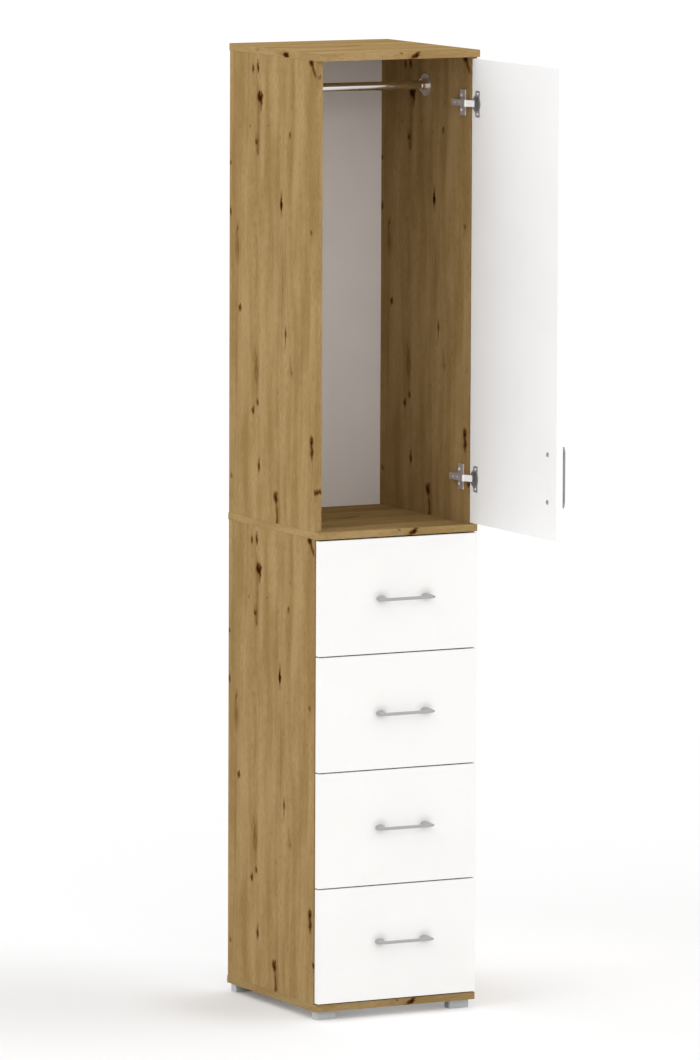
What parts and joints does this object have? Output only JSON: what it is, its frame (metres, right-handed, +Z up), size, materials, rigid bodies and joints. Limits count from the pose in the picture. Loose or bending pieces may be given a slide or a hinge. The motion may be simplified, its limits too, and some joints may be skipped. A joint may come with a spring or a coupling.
{
  "type": "chifforobe",
  "caption": "Tall narrow oak-look cupboard with white fronts: a hanging compartment behind a hinged door stands above a stack of drawers, on low block feet.",
  "frame": {"origin": "middle of the base of the bounding box at rest, with the door open at a right angle and the drawers shut", "axes": "+Z up, -Y the front, +X the right-hand side seen from the front"},
  "size_m": [0.428, 0.8284, 2.15],
  "materials": {
    "oak": "artisan oak melamine, satin",
    "white_board": "white melamine, satin",
    "white_panel": "white lacquered hardboard",
    "drawer_board": "white foil on board",
    "hardwood": "planed beech",
    "chrome": "polished",
    "nickel": "nickel plated",
    "satin_steel": "satin",
    "foot_grey": "silver grey, satin"
  },
  "bodies": {
    "cabinet": {"bottom_board": "oak", "mid_board": "oak", "top_board": "oak", "lower_left_side": "oak", "lower_right_side": "oak", "upper_left_side": "oak", "upper_right_side": "oak", "lower_back_panel": "white_panel", "upper_back_panel": "white_panel", "front_left_foot": "foot_grey", "back_left_foot": "foot_grey", "front_right_foot": "foot_grey", "back_right_foot": "foot_grey", "hanging_rail": "chrome", "rail_flange_left": "chrome", "rail_flange_right": "chrome", "runner_1_left": "hardwood", "runner_1_right": "hardwood", "runner_2_left": "hardwood", "runner_2_right": "hardwood", "runner_3_left": "hardwood", "runner_3_right": "hardwood", "runner_4_left": "hardwood", "runner_4_right": "hardwood", "hinge_arm_top": "nickel", "hinge_plate_top": "nickel", "hinge_arm_bottom": "nickel", "hinge_plate_bottom": "nickel"},
    "hinge_links": {"hinge_link_top": "nickel", "hinge_link_bottom": "nickel"},
    "door": {"door_panel": "white_board", "door_handle": "satin_steel", "door_handle_screw_upper": "nickel", "door_handle_screw_lower": "nickel", "hinge_cup_top": "nickel", "hinge_cup_bottom": "nickel"},
    "drawer_1": {"drawer_1_front": "white_board", "drawer_1_left_side": "drawer_board", "drawer_1_right_side": "drawer_board", "drawer_1_back": "drawer_board", "drawer_1_bottom": "white_panel", "drawer_1_handle": "satin_steel"},
    "drawer_2": {"drawer_2_front": "white_board", "drawer_2_left_side": "drawer_board", "drawer_2_right_side": "drawer_board", "drawer_2_back": "drawer_board", "drawer_2_bottom": "white_panel", "drawer_2_handle": "satin_steel"},
    "drawer_3": {"drawer_3_front": "white_board", "drawer_3_left_side": "drawer_board", "drawer_3_right_side": "drawer_board", "drawer_3_back": "drawer_board", "drawer_3_bottom": "white_panel", "drawer_3_handle": "satin_steel"},
    "drawer_4": {"drawer_4_front": "white_board", "drawer_4_left_side": "drawer_board", "drawer_4_right_side": "drawer_board", "drawer_4_back": "drawer_board", "drawer_4_bottom": "white_panel", "drawer_4_handle": "satin_steel"}
  },
  "joints": [
    {"name": "link_turn", "type": "hinge", "parent": "cabinet", "child": "hinge_links", "pos_m": [0.159, -0.00825, 1.6135], "axis": [0, 0, 1], "range_deg": [-4.22, 25.27]},
    {"name": "door_turn", "type": "hinge", "parent": "hinge_links", "child": "door", "pos_m": [0.17309, -0.02385, 1.6135], "axis": [0, 0, 1], "range_deg": [-115.26, 19.2]},
    {"name": "drawer_1_slide", "type": "slide", "parent": "cabinet", "child": "drawer_1", "axis": [0, -1, 0], "range_m": [0, 0.28]},
    {"name": "drawer_2_slide", "type": "slide", "parent": "cabinet", "child": "drawer_2", "axis": [0, -1, 0], "range_m": [0, 0.28]},
    {"name": "drawer_3_slide", "type": "slide", "parent": "cabinet", "child": "drawer_3", "axis": [0, -1, 0], "range_m": [0, 0.28]},
    {"name": "drawer_4_slide", "type": "slide", "parent": "cabinet", "child": "drawer_4", "axis": [0, -1, 0], "range_m": [0, 0.28]}
  ],
  "couplings": [
    {"joint": "link_turn", "follows": "door_turn", "ratio": -0.21914}
  ]
}
